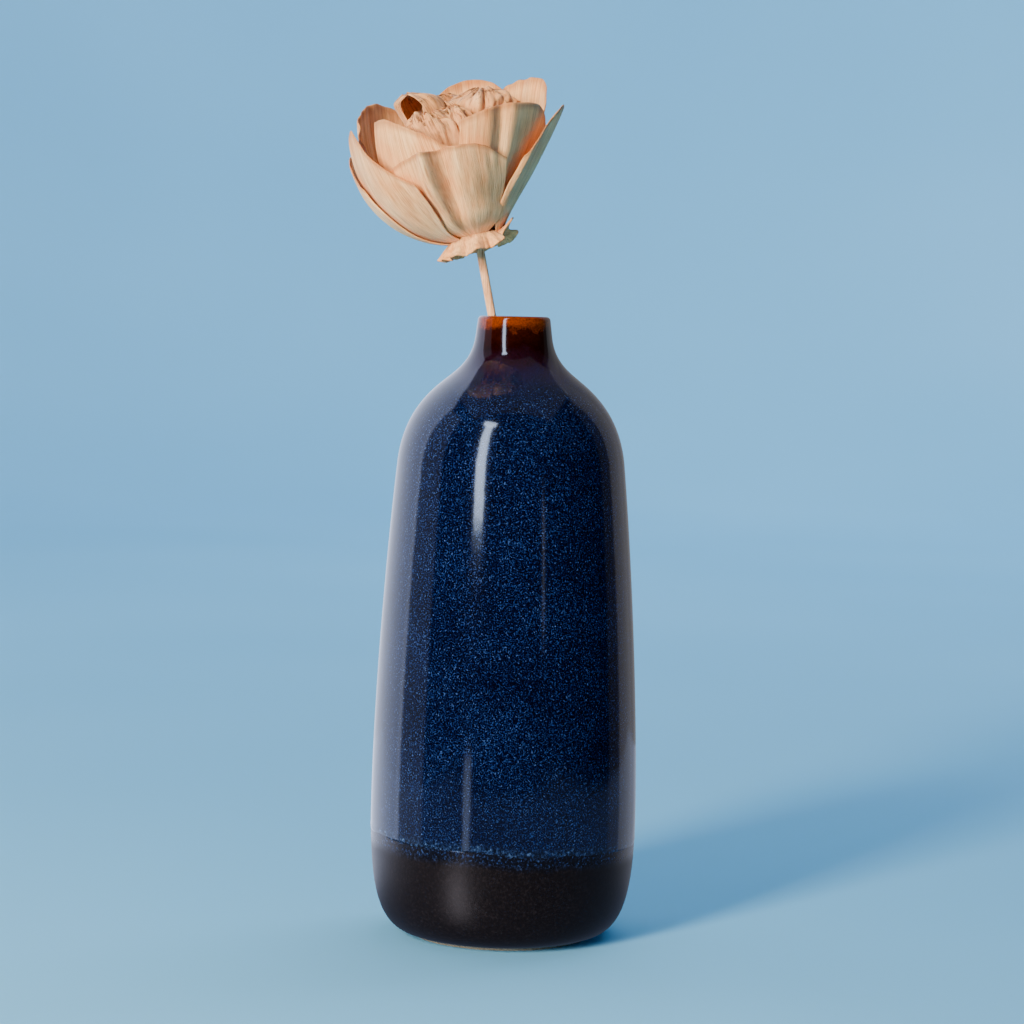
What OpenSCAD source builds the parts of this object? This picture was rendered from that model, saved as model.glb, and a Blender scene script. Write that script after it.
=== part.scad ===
// Ceramic bud vase with one dried pith peony on a reed.
// The vase stands on its flat clay foot, on its own axis: Z up from the middle of the foot.
// The reed stands on the floor of the vase at +X and leans over to -X against the mouth.

/* [Vase] */
// Height of the vase from the foot to the top of the lip
vase_h = 217; // [210:1:222]
// Largest radius of the body, low down
belly_r = 46.6; // [46:0.2:47.6]
// Radius of the flat clay foot
foot_r = 31.5; // [28:0.5:32]
// Radius of the open bore in the neck
bore_r = 9.7; // [9.4:0.1:9.8]
// Thickness of the lip
lip_t = 3; // [2.8:0.1:3.4]
// Thickness of clay and glaze in the wall of the body
wall_t = 4.5; // [4:0.1:5]
// Height of the floor inside the vase
floor_z = 7; // [6.5:0.5:7.5]

/* [Glaze] */
// Thickness of each coat of glaze
glaze_t = 0.5; // [0.3:0.05:0.6]
// Height of the bare clay line at the foot
bare_z = 1.2; // [0.8:0.1:2]
// Height of the lower edge of the blue glaze
dip_z = 35.5; // [30:0.5:42]
// Slope of that edge, lower at +X
dip_tilt = 2; // [0:0.25:4]

/* [Reed] */
// Radius of the reed
reed_r = 1.5; // [1.4:0.05:1.55]
// Distance from the vase's axis to the reed's axis at the lip
reed_offset = 7.8; // [7.4:0.1:7.8]
// Lean of the reed from upright
reed_lean = 11.5; // [10.5:0.25:11.75]
// Gap between the reed and the hole in the flower that turns on it
running_gap = 0.05; // [0.02:0.01:0.1]

/* [Flower] */
// Height of the flower's waist above the lip
waist_rise = 27.6; // [26:0.2:36]
// Thickness of a petal
petal_t = 0.5; // [0.4:0.05:0.55]
// Radius of the flower's waist, where the petals are bound
waist_r = 7.8; // [7.6:0.1:7.9]
// Radius of the pleated ruff below the binding
ruff_r = 14.5; // [13:0.5:16]

/* [Hidden] */
$fn = 96;
CURVE_STEPS = 8;            // straight pieces in each curve of the vase's outline
PETAL_COLUMNS = 10;
PETAL_ROWS = 9;
RUFF_STEPS = 72;            // points round the ruff
RUFF_ROWS = 3;
RUFF_PLEATS = 9;

function bezier(p, t) = let (u = 1 - t)
    u * u * u * p[0] + 3 * u * u * t * p[1] + 3 * u * t * t * p[2] + t * t * t * p[3];
// A curve's points, without its last one, which starts the next curve.
function curve(p) = [for (i = [0:CURVE_STEPS - 1]) bezier(p, i / CURVE_STEPS)];
function reversed(list) = [for (i = [len(list) - 1:-1:0]) list[i]];
function part_of(list, from, to) = [for (i = [from:to]) list[i]];
function unit(v) = v / norm(v);

// The points of the outline where one curve gives way to the next, as [radius, height].
lip_r = bore_r + lip_t;
lip_z = vase_h - lip_t / 2;
neck_z = vase_h - 5;
belly_z = 41.5;
shoulder = [belly_r - 6.7, vase_h - 53];
neck_turn = [shoulder[0] - 13.4, vase_h - 24.7];
bore_z = vase_h - 11;
inner_r = belly_r - wall_t;
inner_shoulder = [shoulder[0] - 4.3, shoulder[1] - 0.5];
inner_turn = [neck_turn[0] - 2.9, neck_turn[1] - 3.4];

outside = concat(
    curve([[foot_r + 1.5, bare_z], [belly_r - 3.4, 2.2], [belly_r, 16], [belly_r, belly_z]]),
    curve([[belly_r, belly_z], [belly_r, 79], [belly_r - 3.4, vase_h - 86], shoulder]),
    curve([shoulder, [belly_r - 7.7, vase_h - 40], [34, vase_h - 31.4], neck_turn]),
    curve([neck_turn, [20.5, vase_h - 19.3], [lip_r + 1.1, vase_h - 16.5], [lip_r + 0.5, neck_z]]),
    [[lip_r + 0.5, neck_z]],
    [for (a = [0:20:180]) [bore_r + lip_t / 2 + lip_t / 2 * cos(a), lip_z + lip_t / 2 * sin(a)]]
);
inside = concat(
    curve([[bore_r, bore_z], [bore_r, bore_z - 6], inner_turn + [-7, 6], inner_turn]),
    curve([inner_turn, inner_turn + [6.4, -5.5], [inner_shoulder[0] - 1.2, vase_h - 43], inner_shoulder]),
    curve([inner_shoulder, [inner_r - 3.2, vase_h - 86], [inner_r, 80], [inner_r, belly_z]]),
    curve([[inner_r, belly_z], [inner_r, 18], [inner_r, floor_z], [inner_r - 8, floor_z]]),
    [[inner_r - 8, floor_z], [0, floor_z]]
);
glaze_line = concat(outside, inside);
mouth_end = len(outside);   // where the outer coat stops and the lining starts

// The clay's surface lies one coat of glaze inside the glaze's own surface.
function into_wall(line, i) = let (
        before = line[max(i - 1, 0)], after = line[min(i + 1, len(line) - 1)],
        along = unit(after - before))
    [max(line[i][0] - glaze_t * along[1], 0), line[i][1] + glaze_t * along[0]];
clay_line = [for (i = [0:len(glaze_line) - 1])
    i == len(glaze_line) - 1 ? [0, floor_z - glaze_t] : into_wall(glaze_line, i)];

// The flower's own frame: its origin is the waist, on the reed's axis, and Z runs up the reed.
waist_z = vase_h + waist_rise;
waist_x = -reed_offset - waist_rise * tan(reed_lean);
reed_foot_z = floor_z + 0.7;
reed_len = (waist_z - reed_foot_z) / cos(reed_lean);
socket_z = 7.2;             // blind end of the hole in the flower's core
reed_top_gap = 0.3;

// Outline of the open cup that the petals follow, on its full side and on its straight side.
full_side = [[9.2, 0.8], [24, 1.5], [44, 18], [38, 50]];
straight_side = [[9.2, 0.8], [13, 10], [28, 22], [42, 47]];
function cup(azimuth, t) = let (w = (1 - cos(azimuth)) / 2)
    w * bezier(full_side, t) + (1 - w) * bezier(straight_side, t);
// A point on a petal: depth says how far the petal lies inside the outermost ones.
function on_petal(azimuth, t, depth, skin) = let (
        c = cup(azimuth, t),
        r = c[0] - depth * (1 + 4.5 * t * t) - skin,
        z = c[1] + depth + skin / 2)
    [r * cos(azimuth), r * sin(azimuth), z];

// Each petal: [azimuth, half of its width in degrees, share of the cup's height, depth].
// Petals that lie over one another differ in depth by at least 0.8.
OUTER = [[-98, 50, 0.78, 1.6], [-160, 46, 0.82, 0.8], [165, 48, 0.8, 0], [-8, 46, 0.88, 0],
         [40, 46, 1, 0.8], [104, 44, 0.95, 1.6]];
MIDDLE = [[-56, 46, 0.87, 2.6], [-126, 40, 0.86, 3.4], [148, 44, 0.97, 3.4], [84, 46, 1, 2.6],
          [14, 40, 0.9, 3.4]];
INNER = [[-160, 48, 0.92, 4.4], [28, 54, 0.92, 4.4], [117, 34, 0.94, 4.4]];
HEART = [[-115, 54, 0.8, 5.4], [-8, 50, 0.82, 5.4], [102, 58, 0.9, 5.4]];

function names(word, list) = [for (i = [1:len(list)]) str(word, "_petal_", i)];

// Faces of a closed sheet whose two skins are grids of rows by columns of points.
function grid_faces(columns, rows) = let (
        w = columns + 1, n = w * (rows + 1),
        quad = function (a, b, c, d) [[a, b, c], [a, c, d]],
        cells = [for (j = [0:rows - 1]) for (i = [0:columns - 1]) j * w + i],
        left = [for (j = [0:rows - 1]) j * w],
        right = [for (j = [0:rows - 1]) j * w + columns],
        low = [for (i = [0:columns - 1]) i],
        high = [for (i = [0:columns - 1]) rows * w + i])
    concat(
        [for (k = cells) each quad(k, k + w, k + w + 1, k + 1)],
        [for (k = cells) each quad(n + k, n + k + 1, n + k + w + 1, n + k + w)],
        [for (k = left) each quad(k, n + k, n + k + w, k + w)],
        [for (k = right) each quad(k, k + w, n + k + w, n + k)],
        [for (k = low) each quad(k, k + 1, n + k + 1, n + k)],
        [for (k = high) each quad(k, n + k, n + k + 1, k + 1)]);

module coat() {
    rotate_extrude() polygon(concat(
        part_of(glaze_line, 0, mouth_end), reversed(part_of(clay_line, 0, mouth_end))));
}

module above_dip_line() {
    reach = 2 * belly_r;
    translate([0, 0, dip_z]) rotate([0, dip_tilt, 0]) translate([-reach, -reach, 0])
        cube([2 * reach, 2 * reach, vase_h]);
}

module in_flower() {
    translate([waist_x, 0, waist_z]) rotate([0, -reed_lean, 0]) children();
}

module petal(p) {
    function half_width(row) = p[1] * (0.62 + 0.38 * min(1, row / 0.45));
    function top(side) = p[2] * (1 - 0.22 * pow(abs(side), 3) + 0.02 * sin(side * 320));
    function corner(side, row, skin) = let (turn = side * half_width(row))
        on_petal(p[0] + turn, row * top(side), p[3], skin);
    points = [for (skin = [0, petal_t]) for (j = [0:PETAL_ROWS]) for (i = [0:PETAL_COLUMNS])
        corner(2 * i / PETAL_COLUMNS - 1, j / PETAL_ROWS, skin)];
    in_flower() polyhedron(points, grid_faces(PETAL_COLUMNS, PETAL_ROWS));
}

module stoneware_body() {
    color("#8c7a66") rotate_extrude() polygon(concat([[0, 0], [foot_r, 0]], clay_line));
}

module blue_glaze() {
    color("#12305f") intersection() {
        coat();
        above_dip_line();
    }
}

module charcoal_glaze() {
    color("#222228") difference() {
        coat();
        above_dip_line();
    }
}

module lining_glaze() {
    last = len(glaze_line) - 1;
    color("#3a2016") rotate_extrude() polygon(concat(
        part_of(glaze_line, mouth_end, last), reversed(part_of(clay_line, mouth_end, last))));
}

module reed_stem() {
    color("#d8b890") in_flower() translate([0, 0, -reed_len])
        cylinder(h = reed_len + socket_z - reed_top_gap, r = reed_r);
}

module flower_core() {
    hole_r = reed_r + running_gap;
    color("#cbb08a") in_flower() rotate_extrude() polygon([
        [hole_r, -4.2], [2.5, -4.2], [3, -2.4], [waist_r, -2], [waist_r, 0], [2.8, 5.4],
        [2.6, 8], [0, 8.8], [0, socket_z], [hole_r, socket_z]]);
}

module binding_thread() {
    thread_r = 0.33;
    pitch = 0.68;
    color("#b79a72") in_flower() for (turn = [0:2])
        translate([0, 0, -thread_r - turn * pitch]) rotate_extrude()
            translate([waist_r + thread_r + 0.02, 0]) circle(r = thread_r, $fn = 24);
}

module pleated_ruff() {
    inner = waist_r + 0.2;
    function lift(a, share, skin) = -2.3 - 1.3 * share - skin
        + share * (2.2 * cos(a) + 1.1 * sin(a) + 0.9 * sin(RUFF_PLEATS * a));
    function spot(a, share, skin) = let (r = inner + (ruff_r - inner) * share)
        [r * cos(a), r * sin(a), lift(a, share, skin)];
    w = RUFF_ROWS + 1;
    n = w * RUFF_STEPS;
    points = [for (skin = [0, petal_t]) for (j = [0:RUFF_STEPS - 1]) for (i = [0:RUFF_ROWS])
        spot(j * 360 / RUFF_STEPS, i / RUFF_ROWS, skin)];
    function at(j, i) = (j % RUFF_STEPS) * w + i;
    faces = [for (j = [0:RUFF_STEPS - 1]) each concat(
        [for (i = [0:RUFF_ROWS - 1]) each [
            [at(j, i), at(j + 1, i), at(j + 1, i + 1)], [at(j, i), at(j + 1, i + 1), at(j, i + 1)],
            [n + at(j, i), n + at(j + 1, i + 1), n + at(j + 1, i)],
            [n + at(j, i), n + at(j, i + 1), n + at(j + 1, i + 1)]]],
        [for (end = [[0, 1], [RUFF_ROWS, -1]]) let (i = end[0],
                a = at(j, i), b = at(j + 1, i)) each end[1] > 0
            ? [[a, n + a, n + b], [a, n + b, b]] : [[a, b, n + b], [a, n + b, n + a]]])];
    color("#dcc3a2") in_flower() polyhedron(points, faces);
}

module rolled_heart() {
    color("#d9bd9a") in_flower() rotate_extrude() polygon([
        [0, 9.2], [1.3, 9.2], [2.4, 24], [4.4, 40], [4.6, 47], [3.2, 49], [0, 47.8]]);
}

stoneware_body();
blue_glaze();
charcoal_glaze();
lining_glaze();
reed_stem();
flower_core();
binding_thread();
pleated_ruff();
rolled_heart();
for (i = [1:len(OUTER)])
    color("#e2caae") petal(OUTER[i - 1]);
for (i = [1:len(MIDDLE)])
    color("#e4cfb6") petal(MIDDLE[i - 1]);
for (i = [1:len(INNER)])
    color("#dcbf9c") petal(INNER[i - 1]);
for (i = [1:len(HEART)])
    color("#c79d6d") petal(HEART[i - 1]);
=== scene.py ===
# %% [markdown]
# # A glazed bud vase with one pith flower
# The object is a slim stoneware vase, thrown round, fired with two glazes, and one dried
# flower: petals cut from pith sheet, gathered on a core and pushed onto a reed that leans in
# the vase's neck. This lesson builds it piece by piece on a measured model that is loaded
# first and never changed. Everything is in metres, standing on z = 0, and the front of the
# object faces the camera, which looks along +Y.

# %% Load the measured model and keep its size
import math
import bpy
from mathutils import Matrix, Vector, noise


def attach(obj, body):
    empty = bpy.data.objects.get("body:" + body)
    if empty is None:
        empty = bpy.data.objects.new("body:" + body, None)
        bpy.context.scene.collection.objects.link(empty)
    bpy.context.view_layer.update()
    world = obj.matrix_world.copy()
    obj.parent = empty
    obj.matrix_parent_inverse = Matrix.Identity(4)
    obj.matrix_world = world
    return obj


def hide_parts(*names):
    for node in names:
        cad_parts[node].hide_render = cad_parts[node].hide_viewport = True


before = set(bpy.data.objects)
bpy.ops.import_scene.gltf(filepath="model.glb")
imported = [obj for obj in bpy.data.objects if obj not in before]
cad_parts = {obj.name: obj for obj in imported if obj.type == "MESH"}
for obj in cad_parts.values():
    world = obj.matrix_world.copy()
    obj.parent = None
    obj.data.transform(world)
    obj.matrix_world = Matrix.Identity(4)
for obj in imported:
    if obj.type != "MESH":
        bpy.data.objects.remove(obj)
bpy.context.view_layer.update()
scene = bpy.context.scene
MM = 0.001

# %% [markdown]
# ## Two helpers that the whole lesson uses
# An operator in Blender acts on all that is selected, and the loaded model arrives selected,
# so each piece starts from an empty selection. When a piece is finished it is given its
# finish, the body that it moves with and the model part that it stands for.

# %% Start a piece and finish a piece
def start_clean():
    if bpy.context.mode != "OBJECT":
        bpy.ops.object.mode_set(mode="OBJECT")
    bpy.ops.object.select_all(action="DESELECT")


def named(name):
    piece = bpy.context.object
    piece.name = piece.data.name = name
    return piece


def apply_all(piece):
    for modifier in list(piece.modifiers):
        bpy.ops.object.modifier_apply(modifier=modifier.name)


def place(piece, body, node, slot, material):
    piece.data.materials.clear()
    piece.data.materials.append(material)
    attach(piece, body)
    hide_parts(node)
    print(f"{piece.name}: {len(piece.data.polygons)} faces, rides on {body}, stands for {node}")
    return piece


# %% [markdown]
# ## Helpers for materials
# A finish is a small network of nodes. One function adds a node, sets it and links it: a
# value given for a socket is either a plain value or another node's output. Colours are
# picked as sRGB hex, as in a paint chart, and Blender calculates in linear light, so one
# function converts them.

# %% Colours, nodes and an empty material
def linear(hex_colour):
    parts = [int(hex_colour[i:i + 2], 16) / 255 for i in (1, 3, 5)]
    return (*[c / 12.92 if c <= 0.04045 else ((c + 0.055) / 1.055) ** 2.4 for c in parts], 1)


MIX = {"data_type": "RGBA", "blend_type": "MIX"}
MULTIPLY = {"data_type": "RGBA", "blend_type": "MULTIPLY"}
TIMES, PLUS, MINUS = {"operation": "MULTIPLY"}, {"operation": "ADD"}, {"operation": "SUBTRACT"}
TIMES_PLUS, BELOW = {"operation": "MULTIPLY_ADD"}, {"operation": "LESS_THAN"}


def add(material, kind, settings=None, stops=(), **sockets):
    """Adds a node. Sockets go by name, or by number as i0, and stops fill a colour ramp."""
    node = material.node_tree.nodes.new(kind)
    for key, value in (settings or {}).items():
        setattr(node, key, value)
    while stops and len(node.color_ramp.elements) < len(stops):
        node.color_ramp.elements.new(0.5)
    for i, (position, colour) in enumerate(stops):
        element = node.color_ramp.elements[i]
        element.position = position
        element.color = linear(colour) if isinstance(colour, str) else (colour, colour, colour, 1)
    for key, value in sockets.items():
        name = key.replace("_", " ")
        socket = node.inputs[int(key[1:])] if key[0] == "i" and key[1:].isdigit() else node.inputs[name]
        if isinstance(value, bpy.types.NodeSocket):
            material.node_tree.links.new(value, socket)
        else:
            socket.default_value = value
    return node


def new_material(name):
    material = bpy.data.materials.new(name)
    material.use_nodes = True
    material.node_tree.nodes.clear()
    return material


def finish_material(material, normal=None, **sockets):
    if normal is not None:
        sockets["Normal"] = normal
    shader = add(material, "ShaderNodeBsdfPrincipled", **sockets)
    add(material, "ShaderNodeOutputMaterial", Surface=shader.outputs[0])
    print("finish:", material.name, "-", len(material.node_tree.nodes), "nodes")
    return material


# %% [markdown]
# ## The camera
# A still life of a tall thin thing is taken from a little above, with a longish lens, so
# that its sides stay nearly parallel. The camera stands about a metre away, level with the
# vase's lip, and looks down by four degrees at half the height of the whole. It is turned a little
# about its own axis, which makes the vase lean by a degree, as on a hand-held camera.

# %% Camera
start_clean()
CAMERA_PLACE = Vector((0.0007, -0.989, 0.216))
CAMERA_AIM = Vector((0.0007, 0.0, 0.1486))
bpy.ops.object.camera_add(location=CAMERA_PLACE)
camera = bpy.context.object
camera.name = "camera"
camera.data.lens = 99.5
camera.data.sensor_width = 36
look = (CAMERA_AIM - CAMERA_PLACE).to_track_quat("-Z", "Y")
camera.rotation_euler = (look.to_matrix() @ Matrix.Rotation(math.radians(1.3), 3, "Z")).to_euler()
scene.camera = camera
print("camera:", tuple(round(v, 3) for v in camera.location), "lens", camera.data.lens)

# %% [markdown]
# ## The studio
# The setting is a seamless sweep: a sheet of pale blue paper that is flat where the object
# stands and curls up into a wall. Here it is a wide dish, turned like a plate, so that it
# closes the view from every side. It is flat for two metres round, so that a camera that
# stands well back is still inside it. A glossy glaze mirrors the room, so the floor and both
# walls are kept out of mirrors, and the cards of the next step are seen in their place. The
# paper is quite matt, so that those cards show in the glaze and not in the floor.

# %% Paper for the sweep
paper = new_material("matt_blue_paper")
paper_at = add(paper, "ShaderNodeTexCoord").outputs["Object"]
paper_cloud = add(paper, "ShaderNodeTexNoise", Vector=paper_at, Scale=1.3, Detail=2.0)
paper_grain = add(paper, "ShaderNodeTexNoise", Vector=paper_at, Scale=900.0, Detail=3.0)
paper_colour = add(paper, "ShaderNodeValToRGB", Fac=paper_cloud.outputs["Fac"],
                   stops=[(0.3, "#6CAFD5"), (0.7, "#76B8DD")]).outputs[0]
paper_bump = add(paper, "ShaderNodeBump", Height=paper_grain.outputs["Fac"], Strength=0.04, Distance=0.0002)
finish_material(paper, paper_bump.outputs["Normal"], Base_Color=paper_colour, Roughness=0.9,
                Specular_IOR_Level=0.0)


# %% Turn the dish: floor, bend and wall
STEPS_ROUND = 96


def sweep_part(name, outline, first_angle, turn):
    start_clean()
    bpy.ops.mesh.primitive_plane_add(size=0.01)
    piece = named(name)
    bpy.ops.object.mode_set(mode="EDIT")
    bpy.ops.mesh.merge(type="CENTER")
    bpy.ops.transform.translate(value=(outline[0][0], 0, outline[0][1]))
    for (ra, za), (rb, zb) in zip(outline, outline[1:]):
        bpy.ops.mesh.extrude_region_move(TRANSFORM_OT_translate={"value": (rb - ra, 0, zb - za)})
    bpy.ops.mesh.select_all(action="SELECT")
    bpy.ops.mesh.spin(steps=int(STEPS_ROUND * turn / 360), angle=math.radians(turn),
                      center=(0, 0, 0), axis=(0, 0, 1))
    bpy.ops.mesh.select_all(action="SELECT")
    bpy.ops.mesh.remove_doubles(threshold=0.0001)
    bpy.ops.object.mode_set(mode="OBJECT")
    piece.data.transform(Matrix.Rotation(math.radians(first_angle), 4, "Z"))
    for face in piece.data.polygons:
        face.select = True
    bpy.ops.object.mode_set(mode="EDIT")
    bpy.ops.mesh.normals_make_consistent(inside=True)
    bpy.ops.object.mode_set(mode="OBJECT")
    bpy.ops.object.shade_smooth()
    piece.data.materials.append(paper)
    lo, hi = ([round(f(v.co[i] for v in piece.data.vertices), 2) for i in range(3)] for f in (min, max))
    print(name, "spans", lo, hi)
    return piece


NEAR_FLOOR, BEND_START, BEND, WALL_TOP = 0.72, 2.1, 0.9, 4.2
FAR_START, FAR_SPAN = 153.75, 127.5
wall_line = [(NEAR_FLOOR, 0), (BEND_START, 0)] + [
    (BEND_START + BEND * math.sin(math.radians(a)), BEND - BEND * math.cos(math.radians(a)))
    for a in range(10, 91, 10)
] + [(BEND_START + BEND, WALL_TOP)]
floor = sweep_part("studio_floor", [(0, 0), (NEAR_FLOOR / 2, 0), (NEAR_FLOOR, 0)], 0, 360)
far_wall = sweep_part("studio_wall_far", wall_line, FAR_START, FAR_SPAN)
near_wall = sweep_part("studio_wall_near", wall_line, FAR_START - FAR_SPAN, 360 - FAR_SPAN)
near_wall.visible_glossy = far_wall.visible_glossy = floor.visible_glossy = False

# %% [markdown]
# ## The lights
# The glaze shows the lights as reflections, so their shapes matter as much as their power.
# They are kept apart here: boxes light the matt things and don't show in the glaze, and
# cards show in the glaze and light nothing else. The warm key box at the left of the camera
# throws the soft shadow to the right, and a narrow bluish card in the same place makes the
# long stroke on the shoulder. Cards behind at the left and right draw the two pale edges.
# Glaze doesn't see the paper either: a dim bluish card lies on the floor in its stead. Only
# the dim panel overhead does both jobs, and a wide wash above the back lights the far wall.

# %% Soft boxes and cards
def size_panel(light, width, height, radiance):
    """Sizes a light and gives it the power, in watts, that makes its face this bright."""
    light.data.shape = "RECTANGLE"
    light.data.size, light.data.size_y = width, height
    light.data.energy = radiance * math.pi * width * height


def box_light(name, angle, distance, low, high, width, radiance, colour=(1, 1, 1)):
    """A soft box that stands at an angle to the left of the camera, between two heights."""
    a = math.radians(angle)
    place = Vector((-math.sin(a) * distance, -math.cos(a) * distance, (low + high) / 2))
    start_clean()
    bpy.ops.object.light_add(type="AREA", location=place)
    light = bpy.context.object
    light.name = name
    size_panel(light, width, high - low, radiance)
    light.data.color = colour
    aim = Vector((0, 0, 0.15 if low > 0.3 else place.z)) - place
    light.rotation_euler = aim.to_track_quat("-Z", "Y").to_euler()
    light.visible_camera = False
    print(f"{name}: {light.data.energy:.1f} W at", tuple(round(v, 2) for v in place))
    return light


key = box_light("key_box", 33, 1.25, 0.2, 0.9, 0.24, 96.0, (1.0, 0.87, 0.73))
key.visible_glossy = False
fill = box_light("fill_box", 127, 1.2, 0.36, 1.5, 0.9, 1.5, (1.0, 0.95, 0.90))
fill.visible_glossy = False
for name, angle, distance, low, high, width, radiance, colour in (
        ("strip_card", 30, 1.15, 0.25, 1.38, 0.18, 21.0, (0.78, 0.88, 1.0)),
        ("strip_card_head", 30, 1.15, 1.385, 1.53, 0.34, 21.0, (0.78, 0.88, 1.0)),
        ("low_card", 30, 0.45, -0.10, 0.03, 0.045, 2.2, (0.74, 0.83, 1.0)),
        ("foot_card", 30, 0.09, -0.03, 0.016, 0.014, 7.0, (0.72, 0.82, 1.0)),
        ("edge_card", 138, 0.6, -0.14, 1.0, 0.95, 2.3, (0.70, 0.77, 1.0)),
        ("edge_card_inner", 88, 0.62, -0.14, 0.8, 0.36, 0.5, (0.80, 0.86, 1.0)),
        ("right_card", -150, 0.6, -0.14, 0.9, 0.8, 0.34, (0.98, 0.96, 1.0)),
        ("right_card_inner", -122, 0.62, -0.14, 0.9, 0.5, 0.10, (1.0, 0.96, 0.95)),
        ("small_strip", -32, 1.3, 0.12, 0.3, 0.03, 2.0, (1, 1, 1))):
    card = box_light(name, angle, distance, low, high, width, radiance, colour)
    card.visible_diffuse = False

# %% The card on the floor, the panel overhead, the wash and the air
FLOOR_CARD_SIDE = 0.9
WASH_AIM = Vector((1.0, 3.0, 0.8))
start_clean()
bpy.ops.object.light_add(type="AREA", location=(0, 0, 0.0005), rotation=(math.pi, 0, 0))
floor_card = bpy.context.object
floor_card.name = "floor_card"
floor_card.data.size = FLOOR_CARD_SIDE
floor_card.data.energy = 0.34 * math.pi * FLOOR_CARD_SIDE**2
floor_card.data.color = (0.44, 0.60, 1.0)
floor_card.visible_camera = floor_card.visible_diffuse = False
start_clean()
bpy.ops.object.light_add(type="AREA", location=(0.0, 0.15, 1.7))
overhead = bpy.context.object
overhead.name = "overhead_panel"
size_panel(overhead, 2.2, 1.8, 0.22)
overhead.visible_camera = False
start_clean()
bpy.ops.object.light_add(type="AREA", location=(1.0, 1.5, 2.8))
wall_wash = bpy.context.object
wall_wash.name = "wall_wash"
size_panel(wall_wash, 3.2, 0.8, 14.0)
wall_wash.rotation_euler = (WASH_AIM - wall_wash.location).to_track_quat("-Z", "Y").to_euler()
wall_wash.visible_camera = wall_wash.visible_glossy = False
world = scene.world or bpy.data.worlds.new("studio_air")
scene.world = world
world.use_nodes = True
world.node_tree.nodes["Background"].inputs["Color"].default_value = linear("#D2CCC8")
world.node_tree.nodes["Background"].inputs["Strength"].default_value = 0.12
world.cycles_visibility.glossy = False

# %% [markdown]
# ## The vase's outline
# A potter shapes a vase by its outline, and everything glazed follows it. It is drawn here
# as four smooth curves, foot to belly, belly to shoulder, shoulder to neck, neck to lip,
# each with two end points and two handles, and the same again inside. All the numbers are
# in millimetres, radius first and height second.

# %% Outline
LIP_RADIUS, VASE_HEIGHT, BORE, LIP = 12.7, 217.0, 9.7, 3.0
BELLY, BELLY_Z, FOOT, BARE_Z, WALL = 46.6, 41.5, 31.5, 1.2, 4.5
LIP_ROUND, GLAZE, THIN_GLAZE = LIP / 2, 0.5, 0.44


def curve(points, share):
    a, b, c, d = points
    s = 1 - share
    return tuple(s**3 * a[i] + 3 * s * s * share * b[i] + 3 * s * share**2 * c[i] + share**3 * d[i]
                 for i in range(len(a)))


SHOULDER = (BELLY - 6.7, VASE_HEIGHT - 53)
TURN = (SHOULDER[0] - 13.4, VASE_HEIGHT - 24.7)
OUTSIDE = [
    [(FOOT + 1.5, BARE_Z), (BELLY - 3.4, 2.2), (BELLY, 16), (BELLY, BELLY_Z)],
    [(BELLY, BELLY_Z), (BELLY, 79), (BELLY - 3.4, VASE_HEIGHT - 86), SHOULDER],
    [SHOULDER, (BELLY - 7.7, VASE_HEIGHT - 40), (34, VASE_HEIGHT - 31.4), TURN],
    [TURN, (20.5, VASE_HEIGHT - 19.3), (LIP_RADIUS + 1.1, VASE_HEIGHT - 16.5),
     (LIP_RADIUS + 0.5, VASE_HEIGHT - 5)],
]
outside = [curve(part, k / 16) for part in OUTSIDE for k in range(16)]
outside += [(BORE + LIP_ROUND + LIP_ROUND * math.cos(math.radians(a)),
             VASE_HEIGHT - LIP_ROUND + LIP_ROUND * math.sin(math.radians(a))) for a in range(0, 181, 15)]
inner_r = BELLY - WALL
inner_shoulder = (SHOULDER[0] - 4.3, SHOULDER[1] - 0.5)
inner_turn = (TURN[0] - 2.9, TURN[1] - 3.4)
INSIDE = [
    [(BORE, VASE_HEIGHT - 11), (BORE, VASE_HEIGHT - 17), (inner_turn[0] - 7, inner_turn[1] + 6), inner_turn],
    [inner_turn, (inner_turn[0] + 6.4, inner_turn[1] - 5.5),
     (inner_shoulder[0] - 1.2, VASE_HEIGHT - 43), inner_shoulder],
    [inner_shoulder, (inner_r - 3.2, VASE_HEIGHT - 86), (inner_r, 80), (inner_r, BELLY_Z)],
    [(inner_r, BELLY_Z), (inner_r, 18), (inner_r, 7), (inner_r - 8, 7)],
]
inside = [curve(part, k / 12) for part in INSIDE for k in range(12)] + [(inner_r - 8, 7), (20, 7), (6, 7)]


def radius_at(height):
    """The outside's radius at a height below the lip."""
    for (r0, z0), (r1, z1) in zip(outside, outside[1:]):
        if z0 <= height <= z1:
            return r0 + (r1 - r0) * (height - z0) / (z1 - z0)
    return outside[0][0]


def moved_in(line, by):
    """The same line, moved into the wall, as clay lies under its glaze."""
    made = []
    for i, (r, z) in enumerate(line):
        (ra, za), (rb, zb) = line[max(i - 1, 0)], line[min(i + 1, len(line) - 1)]
        length = math.hypot(rb - ra, zb - za)
        made.append((r - by * (zb - za) / length, z + by * (rb - ra) / length))
    return made


print("outline:", len(outside), "points outside,", len(inside), "inside")

# %% [markdown]
# ## Turned pieces
# A wheel-thrown form is one profile turned about an axis. The profile starts as a single
# point, made by merging a small plane, and grows point by point with extrude. Spin turns
# it, and where the spin closes on itself the doubled points are merged and the faces are
# told which way is out.

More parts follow.
